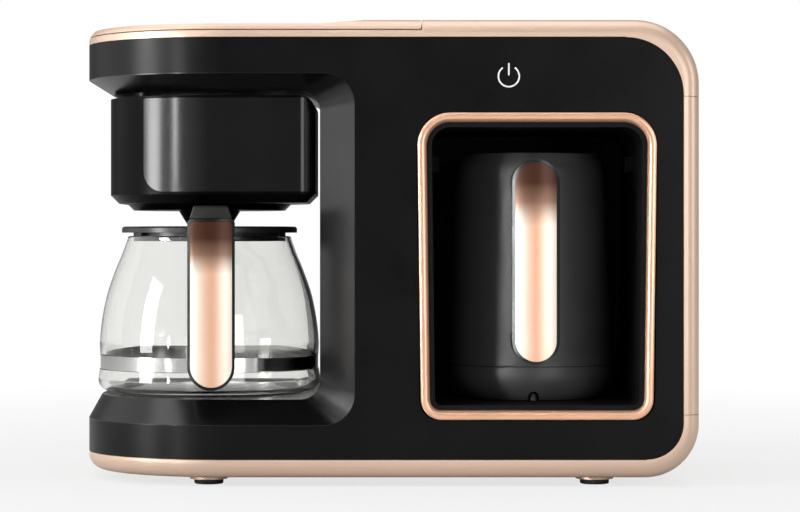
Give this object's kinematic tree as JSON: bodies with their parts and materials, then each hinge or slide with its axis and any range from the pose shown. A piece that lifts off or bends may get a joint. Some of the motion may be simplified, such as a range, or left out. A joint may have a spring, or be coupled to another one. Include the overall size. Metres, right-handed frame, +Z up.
{
  "type": "coffee maker",
  "caption": "Countertop coffee maker with a glass carafe under a swing-out filter holder on the left and a heated Turkish coffee pot in a framed niche on the right.",
  "frame": {"origin": "centre of the footprint, on the surface the feet stand on", "axes": "+X to the user's right, +Y towards the back, +Z up"},
  "size_m": [0.36, 0.215, 0.269],
  "materials": {
    "rose_shell": "satin rose-gold lacquer",
    "satin_black": "fine satin",
    "gloss_black": "gloss",
    "niche_black": "satin",
    "polished_copper": "polished",
    "polished_steel": "polished",
    "brushed_steel": "brushed",
    "aluminium": "cast",
    "plate_coat": "non-stick coat",
    "clear_glass": "clear",
    "rubber": "matt",
    "silicone": "translucent silicone",
    "pale_plastic": "moulded",
    "dark_plastic": "moulded",
    "board": "solder mask"
  },
  "bodies": {
    "root": {"base_tray": "rose_shell", "right_side_panel": "rose_shell", "top_cover": "rose_shell", "front_fascia": "satin_black", "bay_liner": "gloss_black", "rear_cover": "satin_black", "top_deck": "niche_black", "niche_frame": "polished_copper", "niche_liner": "niche_black", "foam_sensors": "gloss_black", "pot_rail": "pale_plastic", "dock_contacts": "niche_black", "water_tank": "pale_plastic", "tank_seal": "rubber", "check_valve": "pale_plastic", "tank_hose": "silicone", "riser_hose": "silicone", "flow_heater": "aluminium", "heater_clamp": "brushed_steel", "thermostat": "brushed_steel", "thermal_fuse": "pale_plastic", "warming_plate": "plate_coat", "plate_seal": "rubber", "shower_head": "pale_plastic", "holder_pivot": "polished_steel", "lid_pins": "polished_steel", "touch_board": "board", "buzzer": "dark_plastic", "power_board": "board", "feet": "rubber", "base_screws": "brushed_steel", "rear_screws": "brushed_steel", "cord_inlet": "rubber"},
    "lid": {"tank_lid": "rose_shell", "lid_liner": "niche_black"},
    "holder": {"filter_holder": "satin_black", "holder_front": "gloss_black", "filter_basket": "dark_plastic", "mesh_filter": "polished_steel", "drip_outlet": "gloss_black"},
    "valve": {"drip_valve": "rubber", "valve_spring": "brushed_steel"},
    "carafe": {"carafe_glass": "clear_glass", "carafe_band": "polished_steel", "carafe_handle": "satin_black", "carafe_insert": "polished_copper", "carafe_lid": "gloss_black", "thumb_lever": "gloss_black", "carafe_screws": "brushed_steel"},
    "pot": {"pot_shell": "satin_black", "pot_liner": "brushed_steel", "pot_base": "satin_black", "pot_handle": "satin_black", "pot_insert": "polished_copper", "pot_heater": "aluminium", "pot_thermistor": "pale_plastic", "pot_contacts": "brushed_steel", "pot_screws": "brushed_steel"}
  },
  "joints": [
    {"name": "lid_hinge", "type": "hinge", "parent": "root", "child": "lid", "pos_m": [0, 0.098, 0.264], "axis": [-1, 0, 0], "range_deg": [0, 88]},
    {"name": "holder_swing", "type": "hinge", "parent": "root", "child": "holder", "pos_m": [-0.153, 0.04, 0.2264], "axis": [0, 0, -1], "range_deg": [0, 85]},
    {"name": "valve_lift", "type": "slide", "parent": "holder", "child": "valve", "axis": [0, 0, 1], "range_m": [0, 0.0035], "stiffness_N_per_m": 250, "springref_m": -0.003, "deforming": ["valve_spring"]},
    {"name": "carafe_slide", "type": "slide", "parent": "root", "child": "carafe", "axis": [0, -1, 0], "range_m": [0, 0.2]},
    {"name": "pot_slide", "type": "slide", "parent": "root", "child": "pot", "axis": [0, -1, 0], "range_m": [0, 0.2]}
  ]
}
